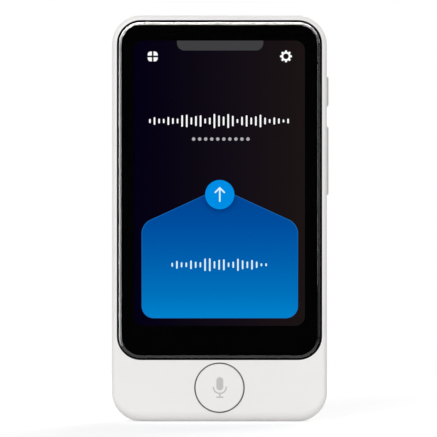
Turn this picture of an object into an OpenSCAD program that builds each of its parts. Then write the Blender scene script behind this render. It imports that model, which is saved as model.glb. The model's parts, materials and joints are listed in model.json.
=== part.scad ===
// Handheld translator: an upright pocket device with a glass front, a round
// talk button on its chin, two keys on its right side and a card tray on its left.
// Front looks along -Y, +Z is up, the origin is under the middle of the bottom edge.

/* [Body] */
// Width across the sides, without the keys
body_w = 65.5; // [64.5:0.1:74]
// Height of the body
body_h = 123.8; // [122.5:0.1:138]
// Depth from the glass to the back
body_d = 11.5; // [11:0.1:13.5]
// Radius of the four corners seen from the front
corner_r = 8.8; // [8:0.1:11]
// Thickness of the side walls
side_wall = 1.5; // [1.4:0.1:1.8]
// Thickness of the rear wall
rear_wall = 1.2; // [0.8:0.1:1.4]
// Depth of the front housing, from its face to the seam
front_depth = 7.3; // [7.1:0.1:7.8]
// Radius of the front edge at the sides and the top
side_edge_r = 1.5; // [0.8:0.1:1.5]
// Radius of the front edge along the bottom
low_edge_r = 3.4; // [2:0.1:3.4]
// How far the rear edge curves in, seen from the back
rear_edge_w = 3.5; // [2:0.1:4.2]
// Chamfer on both sides of the seam
seam_chamfer = 0.2; // [0.1:0.01:0.25]
// Segments of each corner
corner_steps = 12; // [6:1:14]
// Segments of each rounded edge of the housing
edge_steps = 9; // [5:1:10]

/* [Glass and screen] */
// Border of housing beside and above the glass opening
glass_margin = 1.5; // [1.4:0.05:1.9]
// Height of the chin below the glass opening
chin_h = 18.8; // [18.8:0.1:20.5]
// Corner radius of the glass opening
glass_r = 7.3; // [5:0.1:8]
// Thickness of the cover glass
glass_t = 0.9; // [0.7:0.05:1.1]
// How far the glass stands proud of the housing
glass_proud = 0.2; // [0.1:0.05:0.3]
// Width of the curved edge of the glass
glass_edge_w = 1.1; // [0.6:0.1:1.4]
// Depth of the curved edge of the glass
glass_edge_d = 0.5; // [0.3:0.05:0.6]
// Width of the gasket line round the glass
gasket_line = 0.5; // [0.3:0.05:0.55]
// Thickness of the gasket under the glass
gasket_t = 0.15; // [0.1:0.05:0.2]
// Gap from the glass opening to the screen module at each side
screen_side_gap = 3.55; // [3.3:0.05:4]
// Gap from the glass opening to the screen module at the top
screen_top_gap = 4.3; // [4.1:0.05:5]
// Gap from the chin to the screen module
screen_low_gap = 6.2; // [5.8:0.1:7]
// Thickness of the clear film that bonds the screen to the glass
bond_t = 0.15; // [0.1:0.05:0.2]
// Thickness of the screen panel
lcd_t = 1.05; // [0.9:0.05:1.15]
// Thickness of the backlight
backlight_t = 0.9; // [0.7:0.1:1]
// Thickness of the housing shelf that carries the glass
shelf_t = 0.8; // [0.6:0.1:0.9]
// Margin round the screen module in the shelf
window_gap = 0.5; // [0.4:0.05:0.6]

/* [Talk button] */
// Diameter of the round talk button
button_d = 14.6; // [12:0.05:15.2]
// Gap round the talk button
button_gap = 0.4; // [0.2:0.05:0.4]
// Height of the button's centre
button_z = 10.36; // [10.2:0.02:10.5]
// Travel of the button
button_travel = 0.3; // [0.2:0.05:0.4]
// Thickness of the housing wall round the button
button_wall = 1.1; // [0.9:0.1:1.2]
// How far the button's retaining flange reaches past the button
button_flange = 0.9; // [0.6:0.1:0.9]

/* [Side keys] */
// Length of the power key
power_key_l = 9.15; // [8:0.05:10]
// Drop of the power key's centre below the top
power_key_drop = 23.1; // [22.5:0.1:24]
// Length of the volume rocker
volume_key_l = 21; // [18:0.1:21.5]
// Drop of the volume rocker's centre below the top
volume_key_drop = 44.2; // [43.8:0.1:46]
// Width of both keys
key_w = 2.4; // [2:0.1:2.6]
// How far the keys stand proud of the side
key_proud = 0.55; // [0.3:0.05:0.7]
// Gap round each key
key_gap = 0.12; // [0.08:0.01:0.2]
// Distance of the keys and the tray behind the glass front
side_line = 4.75; // [4.6:0.05:4.9]
// Distance from the rocker's centre to each of its two switches
rocker_reach = 6.5; // [5:0.1:7.5]

/* [Card tray] */
// Length of the tray's face
tray_face_l = 15; // [14.4:0.1:15.4]
// Height of the tray's face
tray_face_w = 2; // [1.8:0.1:2.1]
// Drop of the tray's centre below the top
tray_drop = 22; // [21.6:0.1:22.6]
// Diameter of the hole for the ejector pin
eject_hole_d = 1.1; // [0.8:0.1:1.2]
// Length of the tray's blade behind its face
tray_blade_l = 19; // [17.5:0.1:19.5]

/* [Socket, camera and speaker] */
// Distance of the charging socket behind the glass front
port_line = 5.35; // [5.3:0.05:5.5]
// Depth of the charging socket
port_l = 7.2; // [6.5:0.1:7.4]
// Distance of the camera's centre from the side
camera_in = 12.75; // [12.4:0.05:13.4]
// Drop of the camera's centre below the top
camera_drop = 12.8; // [12.4:0.1:13.4]
// Diameter of the camera window
camera_window_d = 7.3; // [6:0.1:7.8]
// Distance from the camera to the flash
flash_gap = 8.5; // [8:0.1:9.5]
// Diameter of the flash lens
flash_d = 3.6; // [3:0.1:4]
// Diameter of the speaker holes
grille_hole_d = 1.1; // [0.8:0.1:1.2]
// Distance between speaker holes
grille_pitch = 1.8; // [1.6:0.1:1.9]
// Diameter of the microphone holes
mic_hole_d = 1; // [0.6:0.1:1.2]

/* [Boards and battery] */
// Gap between the mid frame and the boards
board_gap = 2.3; // [2.2:0.05:2.4]
// Thickness of the boards
board_t = 0.8; // [0.6:0.1:1]
// Height of the lower board
lower_board_h = 18.6; // [18.2:0.1:19]
// Space on the main board below the card socket, for the plugs
plug_room = 6.6; // [6.2:0.1:9]
// Space between the battery and the walls at each side
battery_side = 7.25; // [7.25:0.05:12]
// Space between the battery and the lower board
battery_low_gap = 5; // [5:0.1:10]
// Space between the battery and the main board
battery_top_gap = 3; // [3:0.1:8]
// Thickness of the battery
battery_t = 5.2; // [4:0.1:5.4]
// Thickness of the mid frame
frame_t = 0.5; // [0.4:0.05:0.6]

/* [Hidden] */
$fn = 48;
crown_fn = 32;
soft_steps = 4;
glass_steps = 5;

// Levels from the front to the back
front_y = -body_d / 2;
back_y = body_d / 2;
face_y = front_y + glass_proud;
glass_back_y = front_y + glass_t;
shelf_y = glass_back_y + gasket_t;
shelf_back_y = shelf_y + shelf_t;
lcd_y = glass_back_y + bond_t;
lcd_back_y = lcd_y + lcd_t;
backlight_back_y = lcd_back_y + backlight_t;
pad_gap = 0.15;
frame_y = backlight_back_y + pad_gap;
frame_back_y = frame_y + frame_t;
board_y = frame_back_y + board_gap;
board_back_y = board_y + board_t;
seam_y = face_y + front_depth;
rear_in_y = back_y - rear_wall;
side_y = front_y + side_line;
port_y = front_y + port_line;

// The glass edge is ground flat and rounded by this share of its depth
glass_curve = 0.4;

// Outlines
side_x = body_w / 2;
cavity_x = side_x - side_wall;
cavity_low = side_wall;
cavity_top = body_h - side_wall;
mid_z = body_h / 2;
glass_w = body_w - 2 * glass_margin;
glass_top = body_h - glass_margin;
glass_h = glass_top - chin_h;
glass_z = chin_h + glass_h / 2;
lcd_w = glass_w - 2 * screen_side_gap;
lcd_top = glass_top - screen_top_gap;
lcd_low = chin_h + screen_low_gap;
window_low_gap = 2.2;

// Lip and groove at the seam
lip_t = 0.7;
lip_step = 0.1;
lip_gap = 0.1;
lip_l = 1;
lip_root = 0.3;
lip_in = side_wall + lip_step - lip_t;
port_notch = 0.6;
hook_l = 4;
hook_t = 0.25;
hook_w = 0.5;
hook_margin = 22;
hook_side_z = [hook_margin, (hook_margin + mid_z) / 2, mid_z, body_h - hook_margin / 2];
hook_end_in = 15.25;
hook_end_x = cavity_x - hook_end_in;

// Talk button
button_back_gap = 0.05;
button_flange_t = 0.45;
button_flange_y = face_y + button_wall + button_back_gap;
button_stem_d = 3;
button_stem_l = 0.25;
button_ear_w = 3;
button_ear_l = 1.5;
button_pocket_gap = 0.2;
button_stem_y = button_flange_y + button_flange_t + button_stem_l;
press_gap = 0.05;
button_dome_y = button_stem_y + button_travel + press_gap;
flex_t = 0.15;
button_flex_y = frame_y - flex_t;
button_switch_w = 4.6;

// Side keys, from the wall inwards
key_rest_gap = 0.25;
key_flange_t = 0.55;
key_flange_over = 0.9;
key_flange_w = 0.35;
key_nub_l = 0.4;
key_nub_w = 1.6;
key_crown = 0.3;
key_press_gap = 0.35;
key_switch_t = 0.6;
key_switch_w = 2;
key_switch_l = 3;
bracket_t = 0.4;
bracket_gap = 0.1;
bracket_end = 1;
bracket_cut = 0.4;
key_flange_x = cavity_x - key_rest_gap;
key_nub_x = key_flange_x - key_flange_t - key_nub_l;
key_switch_x = key_nub_x - key_press_gap;
key_flex_x = key_switch_x - key_switch_t;
bracket_x = key_flex_x - flex_t;
power_z = body_h - power_key_drop;
volume_z = body_h - volume_key_drop;
key_bay_low = volume_z - volume_key_l / 2 - 3.5;
key_bay_top = power_z + power_key_l / 2 + 3.5;
key_switch_z = [power_z, volume_z - rocker_reach, volume_z + rocker_reach];

// Card tray
tray_z = body_h - tray_drop;
tray_gap = 0.1;
tray_face_t = 1.2;
tray_blade_w = 11;
tray_blade_t = 0.8;
tray_blade_z = tray_z - 1.2;
tray_pin_z = tray_z + tray_face_l / 2 - 1.6;
card_l = 12.3;
card_w = 8.8;
card_t = 0.67;
card_gap = 0.1;
card_cut = 1.65;
card_x = -side_x + tray_face_t + tray_blade_l - 1.6 - card_l / 2;
cage_x = cavity_x - 2.05;
cage_t = 0.25;
cage_l = tray_blade_l - 1.3;
cage_y = side_y - tray_blade_t / 2 - tray_gap - cage_t;
cage_end_x = -cage_x + cage_l + cage_t;
cage_top = tray_blade_z + tray_blade_w / 2 + tray_gap + 2.4;

// Boards
board_in = 1.8;
frame_in = 0.35;
lower_board_low = cavity_low + 0.4;
lower_board_top = lower_board_low + lower_board_h;
main_board_top = cavity_top - board_in;
main_board_low = tray_blade_z - tray_blade_w / 2 - plug_room;
battery_low = lower_board_top + battery_low_gap;
battery_top = main_board_low - battery_top_gap;
battery_h = battery_top - battery_low;
battery_w = 2 * (cavity_x - battery_side);
connector_t = 0.85;
connector_y = board_y - connector_t;
connector_low = main_board_low + 1.5;
connector_h = 2.4;
key_plug_low = connector_low + 0.9;

// Ribbons: half width or sideways place of each
display_ribbon_w = 12;
link_ribbon_x = -(cavity_x - 4.75);
link_ribbon_w = 3;
battery_ribbon_x = -10.5;
battery_ribbon_w = 6;
key_ribbon_x = key_flex_x - 3;
key_ribbon_w = 3;
button_ribbon_x = 13.3;
button_plug_x = 16.8;
button_ribbon_w = 4;
link_plug_z = 15.2;

// Battery bay
tape_t = 0.3;
battery_y = frame_back_y + tape_t;
battery_edge = 1.2;
battery_corner_r = 2;
rib_gap = 0.35;
rib_t = 0.8;
bay_gap = 0.3;
bay_margin = 4;
bay_rail_t = 0.5;
bay_rail_h = 1.5;

// Screws: shank, head and their holes
shank_d = 1.4;
thread_gap = 0.05;
head_d = 2.4;
head_t = 0.5;
socket_d = 0.8;
socket_l = 0.3;
board_screw_l = 2.6;
frame_screw_l = 2;
boss_d = 3.2;
post_d = 3.4;
bore_d = shank_d + 2 * thread_gap;
pass_d = shank_d + 0.4;
board_screw_in = 9.75;
board_screw_edge = 2.8;
corner_screw_in = 4.75;
chin_screw_in = 7.25;
top_screw_in = 11.25;
side_screw_drop = 10;
board_screw_x = cavity_x - board_screw_in;
board_screws = [
    [board_screw_x, lower_board_low + board_screw_edge],
    [board_screw_x, lower_board_top - board_screw_edge],
    [board_screw_x, main_board_low + board_screw_edge],
    [cavity_x - corner_screw_in, cavity_top - corner_screw_in]
];
frame_screws = [
    [cavity_x - chin_screw_in, button_z],
    [cavity_x - boss_d / 2 + thread_gap, key_bay_low - side_screw_drop],
    [cavity_x - top_screw_in, cavity_top - boss_d / 2 - frame_in]
];

// Chips and shield cans on the main board
film_t = 0.15;
chip_t = 1;
chip_gap = 1.5;
chip_x = cage_end_x + 3;
processor_w = 12;
memory_h = 8.5;
power_chip_x = -cage_x + 6;
power_chip_w = 6;
power_chip_h = 5;
can_h = 1.6;
can_t = 0.2;
can_split = 1.6;
can_low = main_board_low + 5.3;
can_top = main_board_top - 3.5;
large_can_x = [-(cavity_x - 6.75), -2];
small_can_x = [large_can_x[1] + can_split, side_x - camera_in - 6.5];

// Charging socket
port_w = 8.94;
port_h = 3.26;
port_t = 0.3;
port_gap = 0.13;
port_low = 0.4;
tongue_w = 6.7;
tongue_t = 0.7;
tongue_lift = 0.9;
tongue_base = 1.6;

// Camera and flash
camera_x = side_x - camera_in;
camera_z = body_h - camera_drop;
camera_w = 8.5;
camera_barrel_d = 6.2;
camera_base_t = 3;
camera_back_gap = 0.25;
camera_top_y = rear_in_y - camera_back_gap;
lens_d = 3.8;
lens_seat = 0.5;
lens_crown = 0.35;
lens_rim = 0.1;
lens_fit = 0.05;
cradle_h = 1.5;
cradle_t = 0.4;
cradle_gap = 0.15;
cradle_lip = 0.6;
cradle_w = camera_w + 2 * (cradle_gap + cradle_t);
ring_lip = 1.35;
ring_t = 0.7;
ring_fit = 0.05;
window_t = 0.45;
window_sink = 0.1;
window_seat = 0.4;
ring_barrel_d = camera_window_d + 1;
ring_d = camera_window_d + 2 * ring_lip;
flash_x = camera_x - flash_gap;
flash_stem_d = 2.8;
flash_led_t = 0.7;
flash_led_w = 2;
flash_air = 0.3;

// Speaker
speaker_w = 20;
speaker_h = 12.5;
speaker_z = 14.75;
speaker_r = 1.5;
speaker_rim = 1.2;
speaker_dish = 0.4;
gasket_foam_t = 0.2;
mesh_t = 0.15;
mesh_w = 17.5;
mesh_h = 7;
speaker_back_y = rear_in_y - mesh_t - gasket_foam_t;
grille_rows = 3;
grille_cols = 9;

// Microphones
mic_w = 3.5;
mic_h = 2.6;
mic_t = 1;
low_mic_x = 13;
top_mic_x = 8;
mic_y = board_y - 0.6;

// Extrudes a front outline (x, z) from one depth to another
module along_y(y0, y1) {
    translate([0, y1, 0]) rotate([90, 0, 0]) linear_extrude(y1 - y0) children();
}

// Extrudes a side outline (y, z) from one place to another across the body
module along_x(x0, x1) {
    translate([x0, 0, 0]) rotate([90, 0, 90]) linear_extrude(x1 - x0) children();
}

// Extrudes a plan outline (x, y) upwards
module along_z(z0, z1) {
    translate([0, 0, z0]) linear_extrude(z1 - z0) children();
}

// Box between two limits on each axis
module box(x, y, z) {
    translate([x[0], y[0], z[0]]) cube([x[1] - x[0], y[1] - y[0], z[1] - z[0]]);
}

// Rectangle between limits
module area(x, z) {
    translate([x[0], z[0]]) square([x[1] - x[0], z[1] - z[0]]);
}

module rounded(w, h, r) {
    square([w - 2 * r, h], center = true);
    square([w, h - 2 * r], center = true);
    for (i = [-1, 1], j = [-1, 1])
        translate([i * (w / 2 - r), j * (h / 2 - r)]) circle(r);
}

// Straight sides with round ends, long way along the second axis
module pill(w, l) {
    square([w, l - w], center = true);
    for (j = [-1, 1])
        translate([0, j * (l - w) / 2]) circle(d = w);
}

// Outline of the inside of the housing, moved in by a margin
module inside(margin) {
    translate([0, mid_z])
        rounded(2 * (cavity_x - margin), 2 * (mid_z - side_wall - margin), corner_r - side_wall - margin);
}

// Inset of a rounded edge of width w and depth d, at depth t below the face
function edge_inset(w, d, t) = t < d ? w * (1 - sqrt(1 - pow((d - t) / d, 2))) : 0;

// Depths at which a rounded edge is sampled, finest at the face
function edge_depths(d, n = edge_steps) = [for (i = [0:n]) d * (1 - cos(90 * i / n))];

// One closed outline of a rounded slab. Its lower edge may be drawn in further than the rest.
function outline_ring(w, h, r, n, y, inset, low_inset) = [
    for (q = [0:3], i = [0:n])
    let (
        a = 90 * (q + i / n),
        cx = (q == 0 || q == 3 ? 1 : -1) * (w / 2 - r),
        cz = (q < 2 ? 1 : -1) * (h / 2 - r),
        low = pow(max(0, -sin(a)), 1.5),
        reach = r - inset - (low_inset - inset) * low
    )
    [cx + reach * cos(a), y, cz + reach * sin(a)]
];

// Slab skinned over outlines. Each layer is [depth, inset, inset of the lower edge].
module loft(w, h, r, layers, steps = corner_steps) {
    n = 4 * (steps + 1);
    last = len(layers) - 1;
    points = [for (l = layers) each outline_ring(w, h, r, steps, l[0], l[1], l[2])];
    skin = [
        for (k = [0:last - 1], i = [0:n - 1])
        let (a = k * n + i, b = k * n + (i + 1) % n)
        each [[a, b, b + n], [a, b + n, a + n]]
    ];
    front_cap = [for (i = [n - 1:-1:0]) i];
    back_cap = [for (i = [0:n - 1]) last * n + i];
    polyhedron(points, concat([front_cap], skin, [back_cap]));
}

// Flat ribbon along a path of 2D points, t thick, extruded by its caller
function turn(p, i) =
    let (a = p[max(i - 1, 0)], b = p[min(i + 1, len(p) - 1)], here = p[i],
         u = i == 0 ? b - here : here - a, v = i == len(p) - 1 ? here - a : b - here,
         s = u / norm(u) + v / norm(v), m = s / norm(s), c = (u / norm(u)) * m)
    [-m[1], m[0]] / c;

module ribbon(path, t) {
    side = [for (i = [0:len(path) - 1]) turn(path, i) * t / 2];
    polygon(concat(
        [for (i = [0:len(path) - 1]) path[i] + side[i]],
        [for (i = [len(path) - 1:-1:0]) path[i] - side[i]]
    ));
}

module both_sides() {
    children();
    mirror([1, 0, 0]) children();
}

// Cylinder along the depth
module rod_y(x, z, d, y0, y1) {
    translate([x, y1, z]) rotate([90, 0, 0]) cylinder(d = d, h = y1 - y0);
}

// ---- Housing ----

module body_front_form() {
    side_t = [for (t = edge_depths(low_edge_r)) [face_y + t,
        edge_inset(side_edge_r, side_edge_r, t), edge_inset(low_edge_r, low_edge_r, t)]];
    layers = concat(side_t, [
        [seam_y - seam_chamfer, 0, 0],
        [seam_y, seam_chamfer, seam_chamfer]
    ]);
    translate([0, 0, mid_z]) loft(body_w, body_h, corner_r, layers);
}

module key_slot(z, l) {
    along_x(cavity_x - 1, side_x + 1)
        translate([side_y, z]) pill(key_w + 2 * key_gap, l + 2 * key_gap);
}

module tray_slot() {
    step_x = side_x - tray_face_t - tray_gap;
    along_x(-side_x - 1, -step_x)
        translate([side_y, tray_z]) pill(tray_face_w + 2 * tray_gap, tray_face_l + 2 * tray_gap);
    along_x(-side_x, -cavity_x + 1)
        translate([side_y, tray_blade_z])
            square([tray_blade_t + 2 * tray_gap, tray_blade_w + 2 * tray_gap], center = true);
    along_x(-side_x, -cavity_x + 1)
        translate([side_y, tray_pin_z]) circle(d = eject_hole_d);
}

// Catch windows for the hooks of the rear cover, or the hooks themselves
module hooks(reach, w, l) {
    hook_y = seam_y - lip_l / 2;
    for (s = [-1, 1]) {
        for (z = hook_side_z)
            translate([s * (side_x - lip_in - reach / 2), hook_y, z])
                cube([reach, w, l], center = true);
        for (z = [lip_in + reach / 2, body_h - lip_in - reach / 2])
            translate([s * hook_end_x, hook_y, z])
                cube([l, w, reach], center = true);
    }
}

module front_housing() {
    pocket_gap = 2 * button_pocket_gap;
    color("whitesmoke") difference() {
        union() {
            difference() {
                body_front_form();
                along_y(front_y - 1, shelf_y)
                    translate([0, glass_z]) rounded(glass_w, glass_h, glass_r);
                along_y(front_y - 1, shelf_back_y + 1)
                    area([-lcd_w / 2 - window_gap, lcd_w / 2 + window_gap],
                         [lcd_low - window_low_gap, lcd_top + window_gap]);
                along_y(shelf_back_y, seam_y + 1) inside(0);
            }
            both_sides() for (p = frame_screws)
                rod_y(p[0], p[1], boss_d, shelf_back_y - 0.2, frame_y);
        }
        both_sides() for (p = frame_screws)
            rod_y(p[0], p[1], bore_d, frame_back_y - frame_screw_l - 0.2, frame_y + 1);
        rod_y(0, button_z, button_d + 2 * button_gap, front_y - 1, shelf_back_y);
        along_y(face_y + button_wall, shelf_back_y + 1) translate([0, button_z]) {
            circle(d = button_d + 2 * button_flange + pocket_gap);
            square([button_d + 2 * (button_flange + button_ear_l) + pocket_gap,
                    button_ear_w + pocket_gap], center = true);
        }
        along_y(seam_y - lip_l - lip_gap, seam_y + 1) inside(lip_in - side_wall - lip_gap);
        hooks(2 * (hook_t + 2 * lip_gap), hook_w + 2 * lip_gap, hook_l + 4 * lip_gap);
        key_slot(power_z, power_key_l);
        key_slot(volume_z, volume_key_l);
        tray_slot();
        along_z(-1, cavity_low + 1) translate([0, port_y])
            rotate(90) pill(port_h + 2 * port_gap, port_w + 2 * port_gap);
        translate([low_mic_x, mic_y, -1]) cylinder(d = mic_hole_d, h = cavity_low + 2);
        translate([top_mic_x, mic_y, cavity_top - 1]) cylinder(d = mic_hole_d, h = side_wall + 2);
    }
}

module rear_form() {
    depth = back_y - seam_y;
    layers = concat(
        [[seam_y, seam_chamfer, seam_chamfer]],
        [for (i = [edge_steps:-1:0])
            let (t = edge_depths(depth)[i], d = edge_inset(rear_edge_w, depth, t))
            if (t < depth - seam_chamfer) [back_y - t, d, d]]
    );
    translate([0, 0, mid_z]) loft(body_w, body_h, corner_r, layers);
}

module rear_cavity() {
    depth = rear_in_y - seam_y;
    inner_edge = rear_edge_w / 2;
    layers = concat(
        [[seam_y - 1, side_wall, side_wall]],
        [for (i = [soft_steps:-1:0])
            let (t = edge_depths(depth, soft_steps)[i],
                 d = side_wall + edge_inset(inner_edge, depth, t))
            [rear_in_y - t, d, d]]
    );
    translate([0, 0, mid_z]) loft(body_w, body_h, corner_r, layers);
}

module seam_lip() {
    along_y(seam_y - lip_l, seam_y + lip_root) difference() {
        inside(lip_in - side_wall);
        inside(lip_step);
        area([-port_w / 2 - port_notch, port_w / 2 + port_notch], [0, mid_z]);
    }
}

module grille_holes() {
    for (row = [0:grille_rows - 1], col = [0:grille_cols - 1 - row % 2]) {
        x = (col - (grille_cols - 1 - row % 2) / 2) * grille_pitch;
        z = speaker_z + (row - (grille_rows - 1) / 2) * grille_pitch;
        rod_y(x, z, grille_hole_d, rear_in_y - 1, back_y + 1);
    }
}

// Ribs that press on the battery through its gap
module cover_ribs() {
    margin = 4;
    y = [battery_y + battery_t + rib_gap, rear_in_y + 0.1];
    x = battery_w / 2 - margin;
    z = [battery_low + 2 * margin, battery_top - 2 * margin];
    for (here = [z[0], (z[0] + z[1] - rib_t) / 2, z[1] - rib_t])
        box([-x, x], y, [here, here + rib_t]);
    both_sides() box([x - rib_t, x], y, z);
}

module rear_cover() {
    color("whitesmoke") difference() {
        union() {
            difference() {
                rear_form();
                rear_cavity();
            }
            seam_lip();
            hooks(2 * hook_t, hook_w, hook_l);
            cover_ribs();
        }
        rod_y(camera_x, camera_z, ring_barrel_d + 2 * ring_fit, rear_in_y - 1, back_y + 1);
        rod_y(camera_x, camera_z, ring_d + 2 * ring_fit, back_y - ring_t, back_y + 1);
        rod_y(flash_x, camera_z, flash_d + 2 * ring_fit, rear_in_y - 1, back_y + 1);
        grille_holes();
    }
}

module cover_glass() {
    w = glass_w - 2 * gasket_line;
    h = glass_h - 2 * gasket_line;
    layers = concat(
        [for (i = [0:glass_steps])
            let (
                s = i / glass_steps,
                d = glass_edge_w * (1 - s),
                t = glass_edge_d * ((1 - glass_curve) * s + glass_curve * s * s)
            )
            [front_y + t, d, d]],
        [[glass_back_y, 0, 0]]
    );
    color("black") translate([0, 0, glass_z])
        loft(w, h, glass_r - gasket_line, layers);
}

module glass_gasket() {
    flange = 2;
    sink = 0.1;
    color("dimgray") translate([0, 0, glass_z]) {
        along_y(face_y + sink, glass_back_y) difference() {
            rounded(glass_w, glass_h, glass_r);
            rounded(glass_w - 2 * gasket_line, glass_h - 2 * gasket_line, glass_r - gasket_line);
        }
        along_y(glass_back_y, shelf_y) difference() {
            rounded(glass_w, glass_h, glass_r);
            rounded(glass_w - 2 * flange, glass_h - 2 * flange, glass_r - flange);
        }
    }
}

// ---- Screen ----

module lcd_panel() {
    color("midnightblue")
        along_y(lcd_y, lcd_back_y) area([-lcd_w / 2, lcd_w / 2], [lcd_low, lcd_top]);
}

module bond_film() {
    color("lightblue")
        along_y(glass_back_y, lcd_y) area([-lcd_w / 2, lcd_w / 2], [lcd_low, lcd_top]);
}

module backlight() {
    margin = 0.3;
    color("white") along_y(lcd_back_y, backlight_back_y)
        area([-lcd_w / 2 + margin, lcd_w / 2 - margin], [lcd_low + margin, lcd_top - margin]);
}

// Runs a ribbon up the back of the mid frame and under a plug on the main board
function up_the_frame(start_z) = [
    [frame_back_y + flex_t / 2, start_z],
    [frame_back_y + flex_t / 2, battery_top + 0.8],
    [connector_y - flex_t / 2, connector_low - 0.6],
    [connector_y - flex_t / 2, connector_low + connector_h]
];

display_ribbon_z = lcd_low - 1.6;

module display_flex() {
    lead_y = lcd_y + lcd_t / 2;
    path = concat(
        [[lead_y, lcd_low], [lead_y, lcd_low - 1], [lead_y + 0.6, display_ribbon_z],
         [frame_y, display_ribbon_z], [frame_back_y - 0.1, display_ribbon_z + 0.1]],
        up_the_frame(display_ribbon_z + 0.9)
    );
    color("goldenrod") along_x(-display_ribbon_w / 2, display_ribbon_w / 2) ribbon(path, flex_t);
}

// ---- Mid frame ----

module camera_cradle() {
    seat_y = frame_back_y + cradle_h;
    difference() {
        along_y(frame_back_y - 0.1, seat_y + cradle_lip) translate([camera_x, camera_z])
            square(cradle_w, center = true);
        along_y(seat_y, seat_y + cradle_lip + 1) translate([camera_x, camera_z])
            square(camera_w + 2 * cradle_gap, center = true);
    }
}

module bay_rails() {
    x = battery_w / 2 + bay_gap;
    y = [frame_back_y - 0.1, frame_back_y + bay_rail_h];
    z = battery_low - bay_gap;
    both_sides() {
        box([x, x + bay_rail_t], y, [battery_low + bay_margin, battery_top - bay_margin]);
        box([display_ribbon_w / 2 + 1, battery_w / 2 - bay_margin], y, [z - bay_rail_t, z]);
    }
}

module mid_frame() {
    color("silver") difference() {
        union() {
            along_y(frame_y, frame_back_y) difference() {
                inside(frame_in);
                area([bracket_x + 0.1, side_x], [key_bay_low, key_bay_top]);
                area([-display_ribbon_w / 2 - 0.5, display_ribbon_w / 2 + 0.5],
                     [display_ribbon_z - 0.5, display_ribbon_z + 1]);
                area([button_ribbon_x - 1.2, button_ribbon_x + 1.2],
                     [button_z - button_ribbon_w / 2 - 0.4, button_z + button_ribbon_w / 2 + 0.4]);
            }
            both_sides() for (p = board_screws)
                rod_y(p[0], p[1], post_d, frame_back_y - 0.1, board_y);
            camera_cradle();
            bay_rails();
        }
        both_sides() for (p = board_screws)
            rod_y(p[0], p[1], bore_d, frame_y - 1, board_y + 1);
        both_sides() for (p = frame_screws)
            rod_y(p[0], p[1], pass_d, frame_y - 1, frame_back_y + 1);
    }
}

// A pan-head screw that points to the front, its head's seat at depth y
module screw(x, z, y, l) {
    difference() {
        union() {
            rod_y(x, z, shank_d, y - l, y + 0.1);
            rod_y(x, z, head_d, y, y + head_t);
        }
        rod_y(x, z, socket_d, y + head_t - socket_l, y + head_t + 1);
    }
}

module frame_screw_set() {
    color("gray") both_sides() for (p = frame_screws)
        screw(p[0], p[1], frame_back_y, frame_screw_l);
}

module board_screw_set() {
    color("gray") both_sides() for (p = board_screws)
        screw(p[0], p[1], board_back_y, board_screw_l);
}

// ---- Boards ----

module main_board() {
    camera_cut = cradle_w + 0.5;
    color("darkgreen") along_y(board_y, board_back_y) difference() {
        intersection() {
            inside(board_in);
            area([-side_x, side_x], [main_board_low, main_board_top]);
        }
        translate([camera_x, camera_z]) square(camera_cut, center = true);
        for (s = [-1, 1], p = board_screws)
            translate([s * p[0], p[1]]) circle(d = pass_d);
    }
}

// A chip on the front of the main board, placed by its lower left corner
module chip(x, z, w, h) {
    box([x, x + w], [board_y - chip_t, board_y], [z, z + h]);
}

module main_chips() {
    low = main_board_low + 6.5;
    color("black") {
        chip(chip_x, low, processor_w, processor_w);
        chip(chip_x, low + processor_w + chip_gap, processor_w, memory_h);
        chip(power_chip_x, cage_top + chip_gap, power_chip_w, power_chip_h);
    }
}

module can(x, z, h, t) {
    difference() {
        box(x, [board_back_y, board_back_y + h], z);
        box([x[0] + t, x[1] - t], [board_back_y - 1, board_back_y + h - t], [z[0] + t, z[1] - t]);
    }
}

module shield_cans() {
    color("lightgray") {
        can(large_can_x, [can_low, can_top], can_h, can_t);
        can(small_can_x, [can_low, camera_z - flash_d / 2 - can_split], can_h, can_t);
    }
}

module heat_sheet() {
    margin = 1.5;
    color("dimgray") box([large_can_x[0] + margin, large_can_x[1] - margin],
        [board_back_y + can_h, board_back_y + can_h + film_t],
        [can_low + margin, can_top - margin]);
}

// A plug on the front of a board, over a ribbon's end
module plug(x, w, z, h) {
    box([x - w / 2, x + w / 2], [connector_y, board_y], [z, z + h]);
}

module board_connectors() {
    color("black") {
        plug(0, display_ribbon_w - 1, connector_low, connector_h);
        plug(battery_ribbon_x - 0.5, battery_ribbon_w - 1, connector_low, connector_h);
        plug(link_ribbon_x, link_ribbon_w, connector_low, connector_h);
        plug(key_ribbon_x, key_ribbon_w, key_plug_low, connector_h);
        plug(link_ribbon_x, link_ribbon_w, link_plug_z - connector_h / 2, connector_h);
        plug(button_plug_x, connector_h, button_z - button_ribbon_w / 2, button_ribbon_w);
    }
}

module lower_board() {
    color("darkgreen") along_y(board_y, board_back_y) difference() {
        intersection() {
            inside(board_in - 1.4);
            area([-cavity_x + board_in, cavity_x - board_in], [lower_board_low, lower_board_top]);
        }
        area([-port_w / 2 - port_gap, port_w / 2 + port_gap], [0, port_low + port_l + port_gap]);
        for (s = [-1, 1], p = board_screws)
            translate([s * p[0], p[1]]) circle(d = pass_d);
    }
}

module link_flex() {
    path = concat(
        [[connector_y - flex_t / 2, link_plug_z - connector_h / 2],
         [connector_y - flex_t / 2, link_plug_z + connector_h / 2 + 0.6]],
        up_the_frame(link_plug_z + connector_h / 2 + 3.6)
    );
    color("goldenrod")
        along_x(link_ribbon_x - link_ribbon_w / 2, link_ribbon_x + link_ribbon_w / 2)
            ribbon(path, flex_t);
}

// ---- Battery ----

module battery() {
    depths = edge_depths(battery_edge, soft_steps);
    insets = [for (t = depths) edge_inset(battery_edge, battery_edge, t)];
    front = [for (i = [0:soft_steps]) [battery_y + depths[i], insets[i], insets[i]]];
    rear = [for (i = [soft_steps:-1:0])
        [battery_y + battery_t - depths[i], insets[i], insets[i]]];
    color("dimgray") translate([0, 0, (battery_low + battery_top) / 2])
        loft(battery_w, battery_h, battery_corner_r, concat(front, rear), soft_steps);
}

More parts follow.
